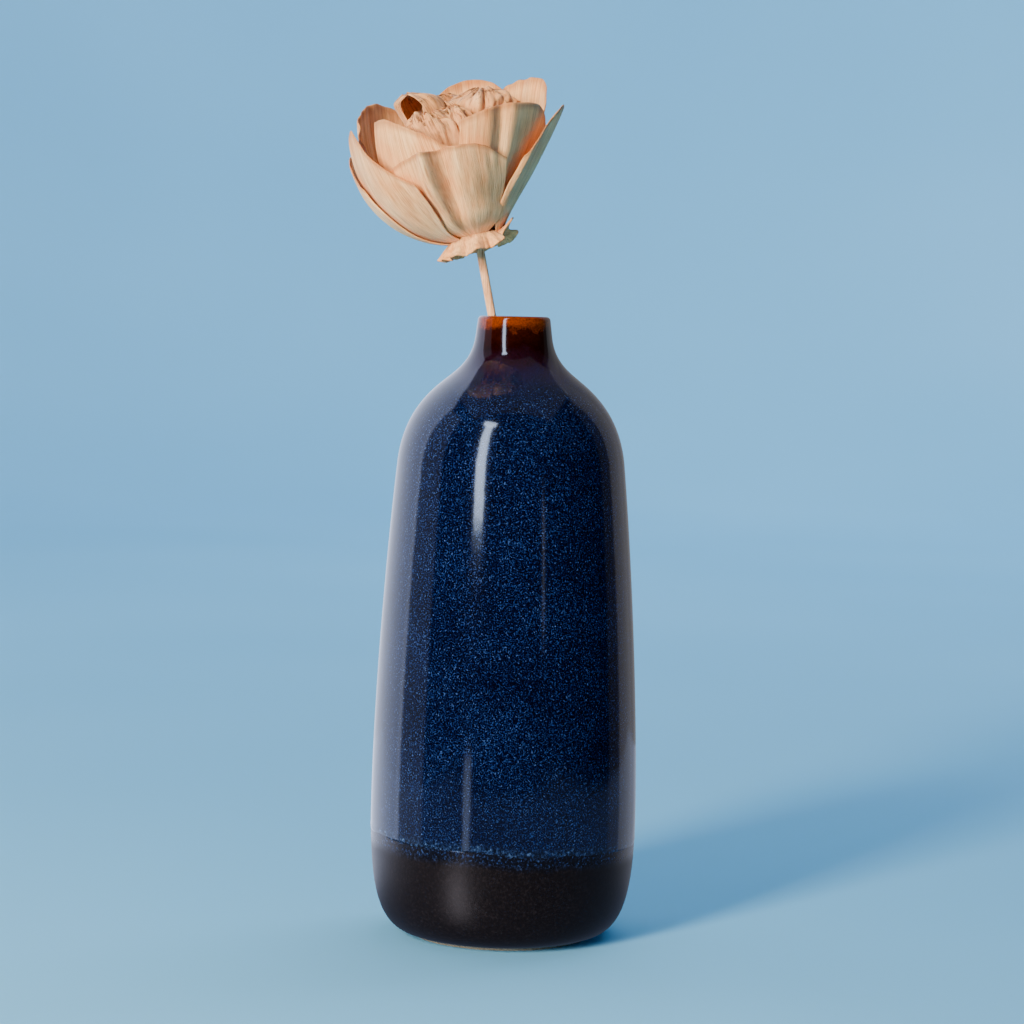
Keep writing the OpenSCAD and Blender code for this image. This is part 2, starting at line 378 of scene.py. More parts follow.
# %% Turn a closed profile on the vase's axis
def turned(name, profile, steps=128):
    start_clean()
    r, z = profile[0]
    bpy.ops.mesh.primitive_plane_add(size=0.001, location=(r * MM, 0, z * MM))
    piece = named(name)
    bpy.ops.object.transform_apply(location=True)
    bpy.ops.object.mode_set(mode="EDIT")
    bpy.ops.mesh.merge(type="CENTER")
    for (ra, za), (rb, zb) in zip(profile, profile[1:] + profile[:1]):
        bpy.ops.mesh.extrude_region_move(
            TRANSFORM_OT_translate={"value": ((rb - ra) * MM, 0, (zb - za) * MM)})
    bpy.ops.mesh.select_all(action="SELECT")
    bpy.ops.mesh.remove_doubles(threshold=0.00001)
    bpy.ops.mesh.spin(steps=steps, angle=2 * math.pi, center=(0, 0, 0), axis=(0, 0, 1))
    bpy.ops.mesh.select_all(action="SELECT")
    bpy.ops.mesh.remove_doubles(threshold=0.00002)
    bpy.ops.mesh.normals_make_consistent(inside=False)
    bpy.ops.object.mode_set(mode="OBJECT")
    bpy.ops.object.shade_smooth_by_angle(angle=math.radians(40))
    return piece


# %% [markdown]
# ## The dip line
# The vase was first dipped in a dark glaze, then held at a slant and poured with blue, which
# ends in an uneven line with a thick rounded lip. The line sits lower at the right and
# wanders by about a millimetre. Both coats are turned with straight edges, and then their
# edge rows are moved onto the line along the wall.

# %% Where the line runs, and how a coat is fitted to it
DIP_Z, DIP_TILT = 35.5, 2.0


def dip_line(angle, radius=BELLY):
    slant = -radius * math.cos(angle) * math.tan(math.radians(DIP_TILT))
    at = Vector((math.cos(angle), math.sin(angle), 0))
    wander = 0.8 * noise.noise(at * 2.2) + 0.7 * noise.noise(at * 6.0 + Vector((5, 1, 0))) \
        + 0.3 * noise.noise(at * 19.0 + Vector((2, 7, 0)))
    return DIP_Z + slant + wander


BEAD_AT, BEAD_WIDTH, SKIN = 0.8, 0.7, 0.25


def fit_edge(piece, edge_z, calm_z, lap, swell):
    """Moves a coat's edge row to the dip line. Rows fade back to their own height at calm_z."""
    for vertex in piece.data.vertices:
        x, y, z = vertex.co / MM
        if (z - calm_z) * (edge_z - calm_z) <= 0:
            continue
        share = min(1.0, (z - calm_z) / (edge_z - calm_z))
        angle = math.atan2(y, x)
        line = dip_line(angle) + lap
        height = calm_z + (line - calm_z) * share
        depth = radius_at(z) - math.hypot(x, y)
        bead = swell * math.exp(-((abs(height - line) - BEAD_AT) / BEAD_WIDTH) ** 2) if depth < SKIN else 0
        r = radius_at(height) - depth + bead
        vertex.co = Vector((r * math.cos(angle), r * math.sin(angle), height)) * MM


dip_heights = [dip_line(math.radians(a)) for a in range(0, 360, 5)]
print(f"dip line between {min(dip_heights):.1f} and {max(dip_heights):.1f} mm")

# %% [markdown]
# ## Blue glaze
# A floating blue: a glossy glaze, thick and glassy, in which iron and titanium separate as
# it cools into fine pale specks over a dark ground. Where it runs thin, on the neck and
# lip, it breaks to purple, then brown, then amber, because the iron shows through. The
# specks are about half a millimetre, so a noise of 1,900 cells a metre draws them, and
# rounder dots one and a half millimetres apart lie among them. A larger cloud keeps the
# ground from being even.

# %% Blue glaze
blue = new_material("speckled_blue_stoneware_glaze")
blue_at = add(blue, "ShaderNodeTexCoord").outputs["Object"]
blue_height = add(blue, "ShaderNodeSeparateXYZ", Vector=blue_at).outputs["Z"]
specks = add(blue, "ShaderNodeTexNoise", Vector=blue_at, Scale=1900.0, Detail=2.0, Roughness=0.7)
cloud = add(blue, "ShaderNodeTexNoise", Vector=blue_at, Scale=55.0, Detail=3.0, Roughness=0.5)
speck_level = add(blue, "ShaderNodeMath", TIMES_PLUS, i0=cloud.outputs["Fac"], i1=0.12, i2=-0.06).outputs[0]
speck_level = add(blue, "ShaderNodeMath", PLUS, i0=specks.outputs["Fac"], i1=speck_level).outputs[0]
blue_ground = add(blue, "ShaderNodeValToRGB", Fac=speck_level, stops=[
    (0.40, "#01010A"), (0.52, "#050822"), (0.61, "#0C1A3E"), (0.72, "#26406A"), (0.86, "#90AFD2")]).outputs[0]
dots = add(blue, "ShaderNodeTexVoronoi", Vector=blue_at, Scale=620.0)
dot_size = add(blue, "ShaderNodeMath", TIMES_PLUS, i0=specks.outputs["Fac"], i1=0.50, i2=-0.12).outputs[0]
dot_mask = add(blue, "ShaderNodeMath", BELOW, i0=dots.outputs["Distance"], i1=dot_size).outputs[0]
dot_mask = add(blue, "ShaderNodeMath", TIMES, i0=dot_mask, i1=0.55).outputs[0]
blue_ground = add(blue, "ShaderNodeMix", MIX, i0=dot_mask, i6=blue_ground, i7=linear("#384F76")).outputs[2]
drift = add(blue, "ShaderNodeTexNoise", Vector=blue_at, Scale=160.0, Detail=4.0, Roughness=0.6)
rise = add(blue, "ShaderNodeMath", TIMES_PLUS, i0=drift.outputs["Fac"], i1=0.012, i2=-0.006).outputs[0]
rise = add(blue, "ShaderNodeMath", PLUS, i0=blue_height, i1=rise).outputs[0]
neck_share = add(blue, "ShaderNodeMapRange", Value=rise, From_Min=0.191, From_Max=0.2175).outputs[0]
neck_colour = add(blue, "ShaderNodeValToRGB", Fac=neck_share, stops=[
    (0.0, "#081030"), (0.24, "#190E30"), (0.40, "#200A18"), (0.60, "#1A0200"), (0.80, "#2C0800"),
    (0.93, "#853400"), (1.0, "#7A2C00")]).outputs[0]
neck_shade = add(blue, "ShaderNodeValToRGB", Fac=specks.outputs["Fac"],
                 stops=[(0.35, 0.15), (0.68, 1.0)]).outputs[0]
neck_specks = add(blue, "ShaderNodeMix", MULTIPLY, i0=0.8, i6=neck_colour, i7=neck_shade).outputs[2]
neck_mask = add(blue, "ShaderNodeMapRange", Value=rise, From_Min=0.187, From_Max=0.197).outputs[0]
blue_colour = add(blue, "ShaderNodeMix", MIX, i0=neck_mask, i6=blue_ground, i7=neck_specks).outputs[2]
# Near the dip line the specks crowd together into a pale, broken lip with charcoal showing through, and the
# palest of them are a painted highlight of the glaze's rounded bead.
edge_at = add(blue, "ShaderNodeAttribute", {"attribute_name": "above_line"}).outputs["Fac"]
edge_specks = add(blue, "ShaderNodeTexNoise", Vector=blue_at, Scale=900.0, Detail=3.0, Roughness=0.7)
crowding_and_bead_highlight = add(blue, "ShaderNodeMapRange", Value=edge_at, From_Min=1.2, From_Max=3.2, To_Min=0.06,
                 To_Max=0.0).outputs[0]
edge_level = add(blue, "ShaderNodeMath", PLUS, i0=edge_specks.outputs["Fac"], i1=crowding_and_bead_highlight).outputs[0]
edge_specks_and_bead_highlight = add(blue, "ShaderNodeValToRGB", Fac=edge_level, stops=[
    (0.44, "#04060E"), (0.55, "#0A142C"), (0.65, "#1B2C4A"), (0.76, "#48607F"), (0.88, "#93A8C0")]).outputs[0]
edge_mask = add(blue, "ShaderNodeMapRange", Value=edge_at, From_Min=1.4, From_Max=3.4, To_Min=1.0,
                To_Max=0.0).outputs[0]
blue_colour = add(blue, "ShaderNodeMix", MIX, i0=edge_mask, i6=blue_colour, i7=edge_specks_and_bead_highlight).outputs[2]
bare_level = add(blue, "ShaderNodeMath", TIMES_PLUS, i0=edge_at, i1=0.14,
                 i2=edge_specks.outputs["Fac"]).outputs[0]
bare_mask = add(blue, "ShaderNodeValToRGB", Fac=bare_level, stops=[(0.47, 1.0), (0.55, 0.0)]).outputs[0]
blue_colour = add(blue, "ShaderNodeMix", MIX, i0=bare_mask, i6=blue_colour, i7=linear("#07070B")).outputs[2]
blue_ripple = add(blue, "ShaderNodeTexNoise", Vector=blue_at, Scale=90.0, Detail=2.0)
blue_bump = add(blue, "ShaderNodeBump", Height=blue_ripple.outputs["Fac"], Strength=0.10, Distance=0.0006)
finish_material(blue, blue_bump.outputs["Normal"], Base_Color=blue_colour, Roughness=0.10, IOR=1.5,
                Specular_Tint=linear("#E4ECFF"))

# %% Turn the blue coat and fit its lower edge
blue_line = [(radius_at(z), z) for z in (33.0, 33.4, 34.0, 34.7, 35.5, 36.5, 38.0, 40.0)]
blue_line += [point for point in outside if point[1] > 41.0]
coat_inner = moved_in(blue_line, GLAZE)
coat_inner[-1] = (BORE + GLAZE, VASE_HEIGHT - LIP_ROUND)
blue_coat = turned("blue_glaze_coat", blue_line + list(reversed(coat_inner)))
fit_edge(blue_coat, 33.0, 60.0, 0.0, 0.10)
mask = blue_coat.data.attributes.new("above_line", "FLOAT", "POINT")
for vertex in blue_coat.data.vertices:
    x, y, z = vertex.co / MM
    mask.data[vertex.index].value = max(0.0, z - dip_line(math.atan2(y, x))) if z < 60 else 30.0
place(blue_coat, "vase", "blue_glaze", "speckled_blue_glaze", blue)

# %% [markdown]
# ## Charcoal glaze
# The lower coat is a satin black: the same clay dipped thinly in a dry, iron-rich glaze. It
# is smooth but not glassy, so its roughness is higher and its highlight wide and soft. Under
# the blue's edge there is a band, five millimetres deep, where the two glazes ran together.

# %% Charcoal glaze
charcoal = new_material("satin_charcoal_glaze")
char_at = add(charcoal, "ShaderNodeTexCoord").outputs["Object"]
char_specks = add(charcoal, "ShaderNodeTexNoise", Vector=char_at, Scale=1100.0, Detail=3.0, Roughness=0.6)
char_below = add(charcoal, "ShaderNodeAttribute", {"attribute_name": "below_line"}).outputs["Fac"]
char_ground = add(charcoal, "ShaderNodeValToRGB", Fac=char_specks.outputs["Fac"], stops=[
    (0.35, "#080505"), (0.55, "#0E0A0B"), (0.72, "#1C1718")]).outputs[0]
char_run = add(charcoal, "ShaderNodeValToRGB", Fac=char_specks.outputs["Fac"], stops=[
    (0.42, "#040408"), (0.55, "#080C1A"), (0.64, "#16264A"), (0.76, "#40597F")]).outputs[0]
char_shift = add(charcoal, "ShaderNodeMath", TIMES_PLUS, i0=char_specks.outputs["Fac"], i1=3.0,
                 i2=-1.5).outputs[0]
char_share = add(charcoal, "ShaderNodeMath", PLUS, i0=char_below, i1=char_shift).outputs[0]
char_mask = add(charcoal, "ShaderNodeMapRange", Value=char_share, From_Min=3.0, From_Max=5.5).outputs[0]
char_colour = add(charcoal, "ShaderNodeMix", MIX, i0=char_mask, i6=char_run, i7=char_ground).outputs[2]
char_rough = add(charcoal, "ShaderNodeMapRange", Value=char_share, From_Min=2.5, From_Max=6.0,
                 To_Min=0.24, To_Max=0.40).outputs[0]
char_grain = add(charcoal, "ShaderNodeTexNoise", Vector=char_at, Scale=1600.0, Detail=2.0)
char_bump = add(charcoal, "ShaderNodeBump", Height=char_grain.outputs["Fac"], Strength=0.12,
                Distance=0.0002)
finish_material(charcoal, char_bump.outputs["Normal"], Base_Color=char_colour, Roughness=char_rough,
                Specular_IOR_Level=0.36, Specular_Tint=linear("#FFE6DC"))

# %% Turn the charcoal coat, foot to dip line
char_line = [(FOOT + 1.5, BARE_Z)] + [point for point in outside if BARE_Z < point[1] < 30.0]
char_line += [(radius_at(z), z) for z in (30.5, 31.5, 32.5, 33.3, 33.8, 34.2)]
char_line = [(r - 0.03, z) for r, z in char_line]
charcoal_coat = turned("charcoal_glaze_coat", char_line + list(reversed(moved_in(char_line, THIN_GLAZE))))
fit_edge(charcoal_coat, 34.2, 22.0, 0.5, 0.0)
mask = charcoal_coat.data.attributes.new("below_line", "FLOAT", "POINT")
for vertex in charcoal_coat.data.vertices:
    x, y, z = vertex.co / MM
    mask.data[vertex.index].value = max(0.0, dip_line(math.atan2(y, x)) - z)
place(charcoal_coat, "vase", "charcoal_glaze", "charcoal_glaze", charcoal)

# %% [markdown]
# ## Clay and lining
# The foot ring is bare where the pot stood on the kiln shelf: a grey-brown stoneware with
# fine dark grit. Inside, the vase is rinsed with a dark brown glaze so that it holds water,
# and only its first centimetre can be seen past the lip.

# %% Bare stoneware and the brown lining
clay = new_material("bare_stoneware")
clay_at = add(clay, "ShaderNodeTexCoord").outputs["Object"]
clay_grit = add(clay, "ShaderNodeTexNoise", Vector=clay_at, Scale=1800.0, Detail=4.0, Roughness=0.7)
clay_colour = add(clay, "ShaderNodeValToRGB", Fac=clay_grit.outputs["Fac"],
                  stops=[(0.3, "#5E5145"), (0.5, "#9A8A76"), (0.75, "#B5A58E")]).outputs[0]
clay_bump = add(clay, "ShaderNodeBump", Height=clay_grit.outputs["Fac"], Strength=0.4, Distance=0.0003)
finish_material(clay, clay_bump.outputs["Normal"], Base_Color=clay_colour, Roughness=0.85)
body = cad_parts["stoneware_body"]
body.data.materials.clear()
body.data.materials.append(clay)

lining = new_material("dark_brown_lining_glaze")
lining_at = add(lining, "ShaderNodeTexCoord").outputs["Object"]
lining_cloud = add(lining, "ShaderNodeTexNoise", Vector=lining_at, Scale=500.0, Detail=3.0)
lining_colour = add(lining, "ShaderNodeValToRGB", Fac=lining_cloud.outputs["Fac"],
                    stops=[(0.35, "#1A0B05"), (0.6, "#3A1A0A"), (0.8, "#5A2C10")]).outputs[0]
finish_material(lining, Base_Color=lining_colour, Roughness=0.14, IOR=1.5)
lining_line = [(BORE, VASE_HEIGHT - LIP_ROUND)] + inside
lining_back = [(r + THIN_GLAZE, z) if z > 20 else (r, z - THIN_GLAZE) for r, z in lining_line]
lining_coat = turned("lining_glaze_coat",
                     lining_line + [(6, 6.5)] + list(reversed(lining_back))[1:], steps=96)
place(lining_coat, "vase", "lining_glaze", "brown_lining_glaze", lining)

# %% [markdown]
# ## The flower's own place
# The reed leans by eleven and a half degrees and the flower sits on its end. Flower pieces
# are shaped in the flower's own directions, across, away and up the reed, from its waist,
# and then carried to their place by one function.

# %% From the flower's frame to the vase's
LEAN = math.radians(11.5)
REED_AT_LIP, WAIST_RISE, REED_END_Z = -7.8, 27.6, 7.7
WAIST_Z = VASE_HEIGHT + WAIST_RISE
WAIST = Vector((REED_AT_LIP - WAIST_RISE * math.tan(LEAN), 0, WAIST_Z))
ACROSS = Vector((math.cos(LEAN), 0, math.sin(LEAN)))
UP_REED = Vector((-math.sin(LEAN), 0, math.cos(LEAN)))


def carried(across, away, up):
    return (WAIST + ACROSS * across + Vector((0, away, 0)) + UP_REED * up) * MM


def shape_grid(name, columns, rows, where):
    """A flat grid whose points are each moved to where(side, row), with side -1..1 and row 0..1."""
    start_clean()
    bpy.ops.mesh.primitive_grid_add(x_subdivisions=columns, y_subdivisions=rows, size=2)
    piece = named(name)
    for vertex in piece.data.vertices:
        vertex.co = carried(*where(vertex.co.x, (vertex.co.y + 1) / 2))
    return piece


print("waist of the flower at", tuple(round(v, 1) for v in WAIST), "mm")

# %% [markdown]
# ## Pith sheet
# The petals are shola or tapioca pith: a white, spongy plant core peeled into a sheet half
# a millimetre thick, dried and cut. It is matt and a little translucent, with fine lines
# along its length from the peeling, soft stains, and a warm glow where light comes through
# it from behind. The innermost petals still have flecks of brown bark on their edges.
# The lines follow the petal, so they read its own UV map: a petal is about 60 mm wide, and
# lines 0.55 mm apart need 110 across it.

# %% Two kinds of pith
def pith_material(name, pale, middle, dark, bark):
    pith = new_material(name)
    sheet = add(pith, "ShaderNodeUVMap").outputs["UV"]
    stretched = add(pith, "ShaderNodeMapping", Vector=sheet, Scale=(110.0, 5.0, 1.0)).outputs[0]
    lines = add(pith, "ShaderNodeTexNoise", Vector=stretched, Scale=1.0, Detail=4.0, Roughness=0.65)
    broad = add(pith, "ShaderNodeMapping", Vector=sheet, Scale=(16.0, 2.2, 1.0)).outputs[0]
    folds = add(pith, "ShaderNodeTexNoise", Vector=broad, Scale=1.0, Detail=3.0, Roughness=0.55)
    at = add(pith, "ShaderNodeTexCoord").outputs["Object"]
    stain = add(pith, "ShaderNodeTexNoise", Vector=at, Scale=70.0, Detail=4.0, Roughness=0.6)
    colour = add(pith, "ShaderNodeValToRGB", Fac=stain.outputs["Fac"],
                 stops=[(0.3, middle), (0.62, pale)]).outputs[0]
    line_shade = add(pith, "ShaderNodeValToRGB", Fac=lines.outputs["Fac"],
                     stops=[(0.3, "#A87848"), (0.58, "#FFFFFF")]).outputs[0]
    colour = add(pith, "ShaderNodeMix", MULTIPLY, i0=0.62, i6=colour, i7=line_shade).outputs[2]
    # Painted shade: the colour darkens in the hollows of the fold bump, where the same noise sinks the
    # surface.
    painted_fold_shade = add(pith, "ShaderNodeValToRGB", Fac=folds.outputs["Fac"],
                     stops=[(0.32, "#C09468"), (0.6, "#FFFFFF")]).outputs[0]
    colour = add(pith, "ShaderNodeMix", MULTIPLY, i0=0.5, i6=colour, i7=painted_fold_shade).outputs[2]
    fleck = add(pith, "ShaderNodeTexNoise", Vector=at, Scale=420.0, Detail=3.0, Roughness=0.75)
    row = add(pith, "ShaderNodeSeparateXYZ", Vector=sheet).outputs["Y"]
    rim = add(pith, "ShaderNodeMapRange", Value=row, From_Min=0.4, From_Max=0.95, To_Max=bark).outputs[0]
    fleck_level = add(pith, "ShaderNodeMath", PLUS, i0=fleck.outputs["Fac"], i1=rim).outputs[0]
    fleck_mask = add(pith, "ShaderNodeValToRGB", Fac=fleck_level,
                     stops=[(0.70, 0.0), (0.82, 0.8)]).outputs[0]
    colour = add(pith, "ShaderNodeMix", MIX, i0=fleck_mask, i6=colour, i7=linear(dark)).outputs[2]
    seam_level = add(pith, "ShaderNodeMath", MINUS, i0=lines.outputs["Fac"], i1=rim).outputs[0]
    seam = add(pith, "ShaderNodeValToRGB", Fac=seam_level, stops=[(0.20, 0.75), (0.33, 0.0)]).outputs[0]
    colour = add(pith, "ShaderNodeMix", MIX, i0=seam, i6=colour, i7=linear(dark)).outputs[2]
    brim = add(pith, "ShaderNodeValToRGB", Fac=row, stops=[(0.955, 0.0), (0.985, 0.55)]).outputs[0]
    colour = add(pith, "ShaderNodeMix", MULTIPLY, i0=brim, i6=colour, i7=linear("#B08658")).outputs[2]
    height = add(pith, "ShaderNodeMath", TIMES_PLUS, i0=folds.outputs["Fac"], i1=1.5,
                 i2=lines.outputs["Fac"]).outputs[0]
    bump = add(pith, "ShaderNodeBump", Height=height, Strength=0.5, Distance=0.0005)
    return finish_material(pith, bump.outputs["Normal"], Base_Color=colour, Roughness=0.75,
                           Specular_IOR_Level=0.25, Subsurface_Weight=0.15, Subsurface_Scale=0.0012,
                           Subsurface_Radius=(1.0, 0.7, 0.5), Sheen_Weight=0.15, Sheen_Roughness=0.5)


pith_outer = pith_material("pale_pith_sheet", "#FFC888", "#F4AC68", "#6B4022", 0.0)
pith_inner = pith_material("pith_sheet_with_bark", "#F6BC84", "#D09458", "#4A2C1A", 0.20)

# %% [markdown]
# ## The cup that the petals follow
# A flower like this is built from the inside out: small rolled petals round a scroll, then
# wider ones, each laid over the gap between the last. All of them follow one open cup that
# is fuller at the left than at the right. A petal is a strip of that cup: it has a
# direction, a width and a height at several points along its edge, and a depth inside the
# outermost layer. Lists are read smoothly, from the base or the left edge on.

# %% Smooth reading of a list, and the cup
FULL_SIDE = [(8.0, -1.2), (24, 0.4), (44.5, 18), (38.5, 50)]
STRAIGHT_SIDE = [(8.0, -1.2), (13, 10), (28, 22), (42, 47)]


def along(values, share):
    """A smooth value between the entries of a list."""
    place_in = max(0.0, min(1.0, share)) * (len(values) - 1)
    i = min(int(place_in), len(values) - 2)
    t = place_in - i
    a, b, c, d = (values[max(0, min(len(values) - 1, i + k))] for k in (-1, 0, 1, 2))
    return 0.5 * (2 * b + (c - a) * t + (2 * a - 5 * b + 4 * c - d) * t * t + (3 * b - a - 3 * c + d) * t**3)


def cup(azimuth, t):
    w = (1 - math.cos(azimuth)) / 2
    full, straight = curve(FULL_SIDE, t), curve(STRAIGHT_SIDE, t)
    return [w * f + (1 - w) * s for f, s in zip(full, straight)]


# %% [markdown]
# ## Petals
# A petal starts as a flat grid and its points are moved onto the cup. On the way the sheet
# gets what real pith has: edges that roll outwards or inwards, a crease or two along its
# length, a soft belly, and small crumples that grow towards the rim. One edge may tuck under
# a neighbour while the other lies over the next. Solidify then gives it thickness, and one
# subdivision rounds it.

# %% A sheet's thickness
PETAL_SHEET, HEART_SHEET = 0.5, 0.45


def thicken(piece, sheet):
    """Gives a shaped grid the thickness of its sheet, in millimetres, and rounds it once."""
    wall = piece.modifiers.new("thickness", "SOLIDIFY")
    wall.thickness, wall.offset = sheet * MM, 0
    rounding = piece.modifiers.new("rounding", "SUBSURF")
    rounding.levels = rounding.render_levels = 1
    apply_all(piece)
    bpy.ops.object.shade_smooth()


# %% One petal
def petal(name, node, azimuth, left, right, top, depth, rolls=(0, 0), creases=(), belly=0.0,
          crumple=0.5, seed=1, columns=44, tuck=0.0):
    def where(side, row):
        half = along(left, row) if side < 0 else along(right, row)
        turn = azimuth + side * half
        t = row * along(top, (side + 1) / 2)
        a = math.radians(turn)
        r, z = cup(a, t)
        inward = along(depth, t)
        r -= inward
        z += depth[0]
        edge_l, edge_r = max(0, (-side - 0.70) / 0.30), max(0, (side - 0.70) / 0.30)
        out = (rolls[0] * edge_l**2 + rolls[1] * edge_r**2) * min(1, row * 2.5) * (1 - 0.3 * row)
        out += tuck * side * min(1, row * 3)
        fade = math.sin(math.pi * min(1, row**1.3 * 1.15) * 0.55)
        for at, size, width in creases:
            out += size * math.exp(-((side - at) / width) ** 2) * fade
        out += belly * math.sin(math.pi * min(1, row * 1.7))**2
        spot = Vector((side * 2.2 + seed * 7.1, row * 1.6, seed * 3.3))
        fine = Vector((side * 7.0 + seed * 3.7, row * 4.0, seed * 1.9))
        grow = crumple * (0.25 + row * row)
        out += grow * (1.6 * noise.noise(spot) + 0.55 * noise.noise(fine))
        z += grow * 0.7 * noise.noise(fine + Vector((9, 0, 0)))
        r += out
        return r * math.cos(a), r * math.sin(a), z

    piece = shape_grid(name, columns, 36, where)
    for loop in piece.data.uv_layers.active.data:
        loop.uv = (loop.uv[0] + seed * 1.37, loop.uv[1])
    thicken(piece, PETAL_SHEET)
    return place(piece, "flower_head", node, "pith_sheet", pith_outer)


# %% Outer petals
petal("outer_petal_front", "outer_petal_1", -98, [46, 48, 53, 56, 54], [38, 50, 50, 48, 44],
      [0.67, 0.73, 0.745, 0.72, 0.62], [1.2, 1.8, 2.6, 4.0, 5.6], rolls=(-1.4, 0.6), columns=72, belly=2.4,
      creases=((-0.34, 2.2, 0.10), (-0.27, 3.8, 0.042), (-0.12, -4.0, 0.10), (0.26, 0.4, 0.14)),
      crumple=0.5, seed=1)
petal("outer_petal_left", "outer_petal_2", -163, [24, 40, 46, 42, 40], [34, 38, 43, 44, 42],
      [0.60, 0.78, 0.92, 0.76, 0.60], [0.3, 0.3, 0.5, 1.0, 1.6], rolls=(0.6, 2.4),
      creases=((0.3, 0.6, 0.3),), crumple=0.5, seed=2)
petal("outer_petal_far_left", "outer_petal_3", 168, [26, 38, 44, 46, 44], [26, 29, 33, 34, 30],
      [0.66, 0.79, 0.84, 0.78, 0.66], [-0.4, -0.6, -0.9, -0.8, -0.3], rolls=(0.4, 0.5),
      creases=(), crumple=0.5, seed=3)
petal("outer_petal_right", "outer_petal_4", -8, [30, 42, 43, 39, 30], [22, 34, 42, 40, 34],
      [0.62, 0.78, 0.89, 0.78, 0.66], [0.0, 0.0, 0.0, 0.2, 0.4], rolls=(-2.2, 0.5),
      creases=((0.0, 0.6, 0.3),), crumple=0.6, seed=4)
petal("outer_petal_far_right", "outer_petal_5", 38, [28, 40, 44, 44, 40], [26, 38, 44, 46, 44],
      [0.82, 1.0, 1.055, 1.02, 0.93], [0.8, 1.0, 2.0, 4.4, 8.0], rolls=(0.8, 0.8),
      creases=((0.3, -0.8, 0.2), (-0.4, 0.9, 0.15), (-0.1, -0.6, 0.1)), crumple=1.0, seed=5)
petal("outer_petal_back", "outer_petal_6", 104, [24, 36, 42, 44, 42], [24, 34, 36, 34, 28],
      [0.84, 0.94, 0.97, 0.88, 0.66], [1.6, 2.2, 3.2, 5.2, 8.0], rolls=(0.3, 0.3),
      creases=((0.1, 0.8, 0.25),), crumple=0.7, seed=6)

# %% Middle petals
petal("middle_petal_front_right", "middle_petal_1", -52, [26, 38, 44, 42, 36], [46, 58, 60, 60, 54],
      [0.84, 0.87, 0.88, 0.86, 0.76], [2.6, 3.2, 4.0, 5.0, 6.6], rolls=(-0.8, 0.8), tuck=3.0,
      creases=((0.0, 1.3, 0.12), (-0.18, -1.8, 0.12), (-0.5, 0.6, 0.2)), crumple=0.45, seed=7)
petal("middle_petal_front_left", "middle_petal_2", -128, [26, 34, 36, 34, 27], [22, 34, 38, 36, 30],
      [0.90, 0.90, 0.86, 0.80, 0.72], [3.2, 4.0, 5.4, 7.6, 9.6], rolls=(0.0, 0.0),
      creases=((0.2, 0.6, 0.3),), crumple=0.4, seed=8)
petal("middle_petal_back_left", "middle_petal_3", 152, [24, 36, 42, 46, 46], [24, 36, 44, 48, 48],
      [0.88, 0.97, 1.0, 0.94, 0.76], [2.8, 3.2, 4.2, 5.6, 7.0], rolls=(0.6, 0.3),
      creases=((0.5, 1.8, 0.07), (0.32, 1.6, 0.07), (0.7, 1.6, 0.06), (0.1, 1.2, 0.08)), crumple=0.5, seed=9)
petal("middle_petal_back", "middle_petal_4", 84, [26, 38, 44, 46, 44], [26, 38, 44, 46, 44],
      [0.94, 1.04, 1.06, 0.98, 0.78], [2.6, 3.6, 5.4, 8.0, 11.0], rolls=(0.2, 0.2),
      creases=((0.0, 0.8, 0.3),), crumple=0.7, seed=10)
petal("middle_petal_right", "middle_petal_5", 14, [24, 34, 38, 40, 38], [24, 34, 38, 40, 38],
      [0.74, 0.84, 0.88, 0.84, 0.76], [3.4, 4.4, 6.4, 10.0, 14.0], rolls=(0.3, 0.3),
      creases=((0.2, 0.9, 0.2),), crumple=0.9, seed=11)

# %% [markdown]
# ## Inner petals
# The innermost petals aren't laid on the cup: each is a small sheet that was wetted and
# cupped round a fingertip, so that it closes over like a cowl and leaves a dark opening on
# one side. A cowl is a grid too. Its columns go round its own axis, which leans out from
# the core, and its rows run up from the core and close over at the tip, where the sheet
# gathers into pleats.


# %% One cowl
def cowl(name, node, low, high, radius, facing, gap, pleats=(0, 0.0), closing=0.25, crumple=0.8,
         squeeze=1.0, tip_drop=0.0, dome=1.6, slit=(0.1, 0.5, 1.0, 1.0, 0.6), seed=1):
    def where(side, row):
        s = row
        centre = [low[i] + (high[i] - low[i]) * (s**1.4 if i < 2 else 1) for i in (0, 1)]
        z = low[2] + (high[2] - low[2]) * (1 - (1 - s)**dome)
        swell = along([0.30, 0.66, 0.95, 0.98, closing], s)
        opening = math.radians(gap) * along(slit, s)
        a = math.radians(facing) + math.pi + side * (math.pi - opening)
        count, size = pleats
        pleat = size * s**2 * (math.sin(count * a + seed) + 0.5 * math.sin(1.7 * count * a + 2 * seed))
        spot = Vector((math.cos(a) * 1.8 + seed, math.sin(a) * 1.8, s * 2.2))
        r = radius * swell + pleat + crumple * s * (
            1.3 * noise.noise(spot) + 0.6 * noise.noise(spot * 3.1) + 0.4 * noise.noise(spot * 6.0)
            + 0.22 * noise.noise(spot * 13.0))
        if abs(side) > 0.8:
            r += (abs(side) - 0.8) / 0.2 * 0.12 * radius * math.sin(math.pi * min(1, s * 1.1))
        z += crumple * s * (0.9 * noise.noise(spot * 2.3 + Vector((3, 3, 3)))) + 0.3 * pleat
        z -= tip_drop * s**3 * (1 + math.cos(a - math.radians(facing))) / 2
        return centre[0] + r * math.cos(a), centre[1] + squeeze * r * math.sin(a), z

    piece = shape_grid(name, 72, 30, where)
    for loop in piece.data.uv_layers.active.data:
        loop.uv = (loop.uv[0] * 0.7 + seed * 1.37, loop.uv[1])
    thicken(piece, HEART_SHEET)
    return place(piece, "flower_head", node, "pith_sheet_inner", pith_inner)


